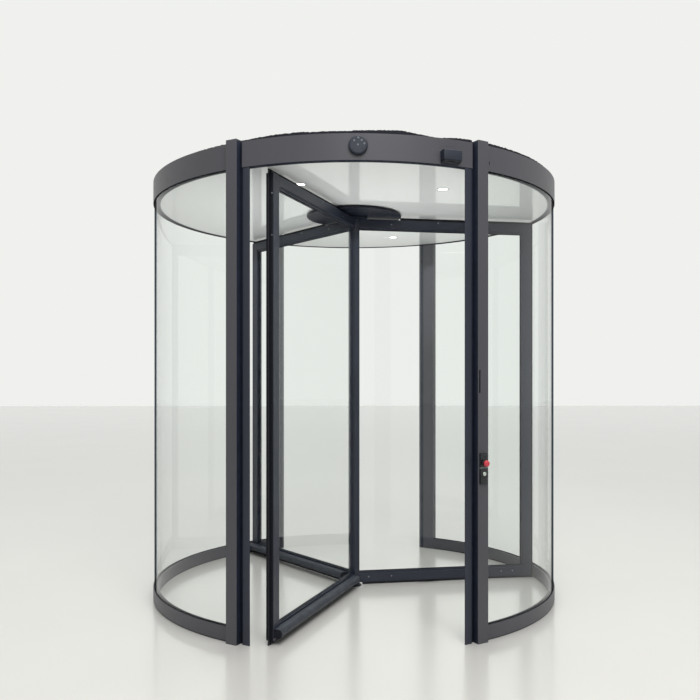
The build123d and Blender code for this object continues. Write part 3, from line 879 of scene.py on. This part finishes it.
def build_round_sensor():
    """Round sensor: dished disc with small windows over three holes."""
    shape = bmesh.new()
    face = ROUND_SENSOR_FACE
    add(shape, turned([(0, -1 * MM), (42 * MM, -1 * MM), (43 * MM, 0.5 * MM), (43 * MM, 10 * MM),
                       (41.5 * MM, 13.5 * MM), (38 * MM, face), (36.6 * MM, face),
                       (36 * MM, face - 0.8 * MM), (35.4 * MM, face), (0, face)], 64, 0))
    for x, y in ((-17.7, 18.5), (0.7, 31), (15.5, 20), (28, 5), (-1, 0)):
        window = turned([(0, -0.5 * MM), (1.8 * MM, -0.4 * MM), (2.4 * MM, 0.4 * MM),
                         (3.6 * MM, 0.4 * MM), (4.1 * MM, -0.6 * MM), (0, -0.6 * MM)], 16, 1)
        add(shape, window, shift(x * MM, y * MM, face))
    for x, y in ((-23, -18.5), (-4.5, -26), (19, -17)):
        hole = turned([(0, -0.4 * MM), (1.6 * MM, -0.4 * MM), (2 * MM, 0.3 * MM),
                       (3 * MM, 0.3 * MM), (3.2 * MM, -0.5 * MM), (0, -0.5 * MM)], 12, 2)
        add(shape, hole, shift(x * MM, y * MM, face))
    return shape


def build_motion_sensor():
    """Box-shaped sensor: a deep cover with a dark slit under its face and a recessed foot."""
    shape = bmesh.new()
    low, high = MOTION_SENSOR_SPAN
    width, depth, slit = MOTION_SENSOR_WIDTH, MOTION_SENSOR_DEPTH, MOTION_SENSOR_SLIT
    add(shape, block((width, high - slit, depth), 4 * MM, 0, 4),
        shift(0, (high + slit) / 2, depth / 2))
    add(shape, block((width - 5 * MM, 10 * MM, depth - 4 * MM), 1.2 * MM, 1),
        shift(0, slit, (depth - 4 * MM) / 2))
    add(shape, block((width - 3 * MM, slit - low - 2 * MM, depth - 12 * MM), 2 * MM, 0, 3),
        shift(0, (slit - 2 * MM + low) / 2, (depth - 12 * MM) / 2))
    return shape


class BuildSensors(DoorOperator, bpy.types.Operator):
    """Round and box-shaped sensors on both headers"""
    bl_idname = "door.build_sensors"
    bl_label = "Build Sensors"

    def execute(self, context):
        case = plastic("sensor_case", srgb(15, 24, 40), 0.5)
        dark = plastic("sensor_dark", srgb(8, 10, 16), 0.25)
        window = plastic("sensor_window", srgb(150, 160, 172), 0.3)
        for row, middle in PASSAGES:
            disc = build_round_sensor()
            disc.transform(at(middle, DRUM_RADIUS, ROUND_SENSOR_HEIGHT))
            make_piece(f"{row}_sensor_disc", disc, "drum", "sensor_black", case, window, dark,
                       replaces=[f"{row}_round_sensor"])
            box = build_motion_sensor()
            box.transform(at(middle + MOTION_SENSOR_ANGLE, DRUM_RADIUS - 0.8 * MM, 0))
            make_piece(f"{row}_sensor_box", box, "drum", "sensor_black", case, dark,
                       replaces=[f"{row}_motion_sensor"])
        return {"FINISHED"}


def build_panel():
    """Two gloss plates with a pale seam, the stop button's collar, a knob and a key bezel."""
    shape = bmesh.new()
    for low, high in PANEL_PLATES:
        add(shape, block((PANEL_WIDTH, high - low, PANEL_THICKNESS), 1.6 * MM, 0),
            shift(PANEL_OFFSET, (low + high) / 2, POST_FACE + PANEL_THICKNESS / 2))
    seam = (PANEL_PLATES[0][1] + PANEL_PLATES[1][0]) / 2
    add(shape, block((PANEL_WIDTH - 1 * MM, 3 * MM, PANEL_THICKNESS - 0.6 * MM), 0.4 * MM, 1),
        shift(PANEL_OFFSET, seam, POST_FACE + (PANEL_THICKNESS - 0.6 * MM) / 2))
    collar = turned([(0, -0.5 * MM), (11 * MM, -0.5 * MM), (11 * MM, 5 * MM), (10 * MM, 7 * MM),
                     (7 * MM, 7 * MM), (6.4 * MM, 6 * MM), (0, 6 * MM)], 32, 2)
    add(shape, collar, shift(STOP_OFFSET, STOP_HEIGHT, PANEL_FACE))
    knob = turned([(0, 1.6 * MM), (4 * MM, 1.4 * MM), (5.6 * MM, 0.8 * MM), (6 * MM, 0),
                   (6 * MM, -0.5 * MM), (0, -0.5 * MM)], 24, 2)
    add(shape, knob, shift(PANEL_OFFSET + KNOB_OFFSET, KNOB_HEIGHT, PANEL_FACE))
    bezel = turned([(9.2 * MM, -0.4 * MM), (9.2 * MM, 0.9 * MM), (11.5 * MM, 0.9 * MM),
                    (12.2 * MM, 0.2 * MM), (12.2 * MM, -0.4 * MM), (9.2 * MM, -0.4 * MM)], 32, 2)
    add(shape, bezel, shift(PANEL_OFFSET, KEY_HEIGHT, PANEL_FACE))
    shape.transform(at(POST_ANGLE, 0, 0))
    return shape


def build_stop():
    """Mushroom head with a rounded brow, a shallow dish and its stem."""
    shape = bmesh.new()
    back = STOP_HEAD_BACK
    head = turned([(0, back), (12.5 * MM, back), (14.4 * MM, back + 1.2 * MM),
                   (15 * MM, back + 4 * MM), (14.7 * MM, back + 7.5 * MM),
                   (13.2 * MM, back + 11 * MM), (10.4 * MM, back + 13.3 * MM),
                   (7 * MM, back + 14 * MM), (4 * MM, back + 13.7 * MM), (0, back + 13.4 * MM)],
                  48, 0)
    add(shape, head)
    add(shape, turned([(0, -5 * MM), (6 * MM, -5 * MM), (6 * MM, back + 0.5 * MM),
                       (0, back + 0.5 * MM)], 24, 1))
    shape.transform(at(POST_ANGLE, PANEL_FACE, STOP_HEIGHT, STOP_OFFSET))
    return shape


def build_key_switch():
    """Turned lock barrel with a keyway."""
    shape = bmesh.new()
    add(shape, turned([(0, -6 * MM), (9 * MM, -6 * MM), (9 * MM, 3 * MM), (8 * MM, 4 * MM),
                       (5.6 * MM, 4 * MM), (5.2 * MM, 3.2 * MM), (0, 3.2 * MM)], 40, 0))
    add(shape, block((1.6 * MM, 6.5 * MM, 1 * MM), 0.2 * MM, 1), shift(0, 0, 3 * MM))
    shape.transform(at(POST_ANGLE, PANEL_FACE, KEY_HEIGHT, PANEL_OFFSET))
    return shape


def build_pivot():
    """Round floor plate with the pin and three screws."""
    shape = bmesh.new()
    add(shape, turned([(0, 0), (45 * MM, 0), (45 * MM, 3.6 * MM), (43.6 * MM, 5 * MM),
                       (12 * MM, 5 * MM), (12 * MM, 40 * MM), (11 * MM, 41 * MM), (0, 41 * MM)],
                      64, 0))
    for turn in range(3):
        spot = outward(FIRST_WING_ANGLE + 60 + 120 * turn) * 39.5 * MM
        add(shape, screw_head(3.6 * MM, 0.8 * MM, 1), shift(spot.x, spot.y, 5 * MM))
    return shape


class BuildControls(DoorOperator, bpy.types.Operator):
    """Control panel, stop button, key switch, slot insert and floor pivot"""
    bl_idname = "door.build_controls"
    bl_label = "Build Controls"

    def execute(self, context):
        finish = context.scene.door_finish
        gloss = plastic("panel_gloss", srgb(18, 22, 26), 0.12, 0.00005)
        pale = plastic("panel_seam", srgb(150, 158, 158), 0.4)
        dark = plastic("panel_collar", srgb(14, 16, 20), 0.35)
        steel = metal("key_steel", srgb(215, 225, 215), 0.3)
        make_piece("control_plates", build_panel(), "drum", "sensor_black", gloss, pale, dark,
                   replaces=["control_panel"])
        make_piece("stop_button_head", build_stop(), "stop_button", "stop_red",
                   plastic("stop_red", tuple(finish.stop_colour), 0.28), dark,
                   replaces=["emergency_stop"])
        make_piece("key_barrel", build_key_switch(), "drum", "key_steel", steel, dark,
                   replaces=["key_switch"])
        wear(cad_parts["slot_insert"], dark)
        make_piece("pivot_plate", build_pivot(), "drum", "pivot_steel",
                   powder_coat("pivot_paint", srgb(24, 26, 34), 0.5), dark,
                   replaces=["floor_pivot"])
        return {"FINISHED"}


class SetStage(DoorOperator, bpy.types.Operator):
    """Pale floor, soft light and the camera"""
    bl_idname = "door.set_stage"
    bl_label = "Set Stage"

    def execute(self, context):
        stage = context.scene.door_stage
        make_floor(stage)
        light_world(context.scene, stage)
        hang_lamps()
        place_camera(context.scene)
        context.scene.view_settings.view_transform = "Standard"
        return {"FINISHED"}


def make_floor(stage):
    """Wide plain floor with a polished look."""
    shape = bmesh.new()
    bmesh.ops.create_grid(shape, x_segments=1, y_segments=1, size=stage.floor_size / 2)
    mesh = bpy.data.meshes.new("floor")
    shape.to_mesh(mesh)
    shape.free()
    floor = bpy.data.objects.new("floor", mesh)
    bpy.context.scene.collection.objects.link(floor)
    material, shader = new_material("polished_floor")
    colour = tuple(stage.floor_colour)
    vary_colour(material, shader, noise(material, 0.8, 4.0), tone(colour, 0.98), tone(colour, 1.02))
    shader.inputs["Roughness"].default_value = 0.3
    shader.inputs["Coat Weight"].default_value = 1.0
    shader.inputs["Coat Roughness"].default_value = 0.16
    wear(floor, material)


def light_world(scene, stage):
    """Pale surroundings as seen and mirrored, with a softer glow on matt surfaces."""
    world = bpy.data.worlds.new("pale_room")
    world.use_nodes = True
    nodes, links = world.node_tree.nodes, world.node_tree.links
    seen = nodes["Background"]
    seen.inputs["Color"].default_value = (*tuple(stage.backdrop_colour), 1)
    seen.inputs["Strength"].default_value = 1.0
    glow = nodes.new("ShaderNodeBackground")
    glow.inputs["Color"].default_value = (*tuple(stage.backdrop_colour), 1)
    glow.inputs["Strength"].default_value = 0.38
    ray = nodes.new("ShaderNodeLightPath")
    looks = nodes.new("ShaderNodeMath")
    looks.operation = "ADD"
    looks.use_clamp = True
    looks_or_passes = nodes.new("ShaderNodeMath")
    looks_or_passes.operation = "ADD"
    looks_or_passes.use_clamp = True
    links.new(ray.outputs["Is Camera Ray"], looks.inputs[0])
    links.new(ray.outputs["Is Glossy Ray"], looks.inputs[1])
    links.new(looks.outputs["Value"], looks_or_passes.inputs[0])
    links.new(ray.outputs["Is Transmission Ray"], looks_or_passes.inputs[1])
    pick = nodes.new("ShaderNodeMixShader")
    links.new(looks_or_passes.outputs["Value"], pick.inputs["Fac"])
    links.new(glow.outputs["Background"], pick.inputs[1])
    links.new(seen.outputs["Background"], pick.inputs[2])
    links.new(pick.outputs["Shader"], nodes["World Output"].inputs["Surface"])
    scene.world = world


def hang_lamps():
    """Soft boxes above the door, which are mirrored, and two under its ceiling, which aren't."""
    wide, narrow = math.radians(180), math.radians(130)
    for name, place, aim, size, power in [
        ("front_softbox", (0.9, -5.0, 6.3), (0, 0, 1.6), 4.0, 310.0),
        ("overhead_softbox", (0.0, 0.0, 6.0), (0, 0, 0), 5.0, 150.0),
        ("ceiling_wash", (0.0, 0.0, 1.3), (0, 0, 2), 1.6, 6.5),
        ("ceiling_glow", (0.0, 0.0, 2.05), (0, 0, 0), 1.9, 16.0),
    ]:
        lamp = bpy.data.lights.new(name, "AREA")
        lamp.shape = "SQUARE"
        lamp.size = size
        lamp.energy = power
        lamp.spread = wide if aim[2] < place[2] else narrow
        holder = bpy.data.objects.new(name, lamp)
        holder.location = place
        holder.rotation_euler = (Vector(aim) - Vector(place)).to_track_quat("-Z", "Y").to_euler()
        holder.visible_camera = False
        holder.visible_glossy = place[2] > CLEAR_HEIGHT
        bpy.context.scene.collection.objects.link(holder)


def place_camera(scene):
    """Level camera in front of the door, shifted as the photograph is framed."""
    data = bpy.data.cameras.new("photo_camera")
    data.sensor_width = SENSOR_WIDTH
    data.lens = FOCAL_PIXELS / PICTURE_WIDTH * SENSOR_WIDTH
    data.shift_x = (PICTURE_WIDTH / 2 - PRINCIPAL_X) / PICTURE_WIDTH
    data.shift_y = (HORIZON_Y - PICTURE_WIDTH / 2) / PICTURE_WIDTH
    camera = bpy.data.objects.new("photo_camera", data)
    place = outward(CAMERA_ANGLE) * CAMERA_DISTANCE
    camera.location = (place.x, place.y, CAMERA_HEIGHT)
    camera.rotation_euler = (-place).to_track_quat("-Z", "Y").to_euler()
    scene.collection.objects.link(camera)
    scene.camera = camera


class DoorPanel(bpy.types.Panel):
    """Lists the door's steps and its colours"""
    bl_idname = "VIEW3D_PT_revolving_door"
    bl_label = "Revolving Door"
    bl_space_type = "VIEW_3D"
    bl_region_type = "UI"
    bl_category = "Revolving Door"

    def draw(self, context):
        layout = self.layout
        for step in STEPS:
            layout.operator(step.bl_idname)
        scene = context.scene
        for group in (scene.door_finish, scene.door_size, scene.door_stage):
            for name in group.__annotations__:
                layout.prop(group, name)


STEPS = (PaintFrame, PaintProfiles, FitGlass, FitSeals, DriveScrews, BuildCeiling, BuildRoof,
         BuildSensors, BuildControls, SetStage)
CLASSES = (DoorFinish, DoorSize, DoorStage, *STEPS, DoorPanel)


def register():
    for cls in CLASSES:
        bpy.utils.register_class(cls)
    bpy.types.Scene.door_finish = bpy.props.PointerProperty(type=DoorFinish)
    bpy.types.Scene.door_size = bpy.props.PointerProperty(type=DoorSize)
    bpy.types.Scene.door_stage = bpy.props.PointerProperty(type=DoorStage)


def unregister():
    del bpy.types.Scene.door_stage
    del bpy.types.Scene.door_size
    del bpy.types.Scene.door_finish
    for cls in reversed(CLASSES):
        bpy.utils.unregister_class(cls)


def main():
    register()
    bpy.ops.door.paint_frame()
    bpy.ops.door.paint_profiles()
    bpy.ops.door.fit_glass()
    bpy.ops.door.fit_seals()
    bpy.ops.door.drive_screws()
    bpy.ops.door.build_ceiling()
    bpy.ops.door.build_roof()
    bpy.ops.door.build_sensors()
    bpy.ops.door.build_controls()
    bpy.ops.door.set_stage()


if __name__ == "__main__":
    main()
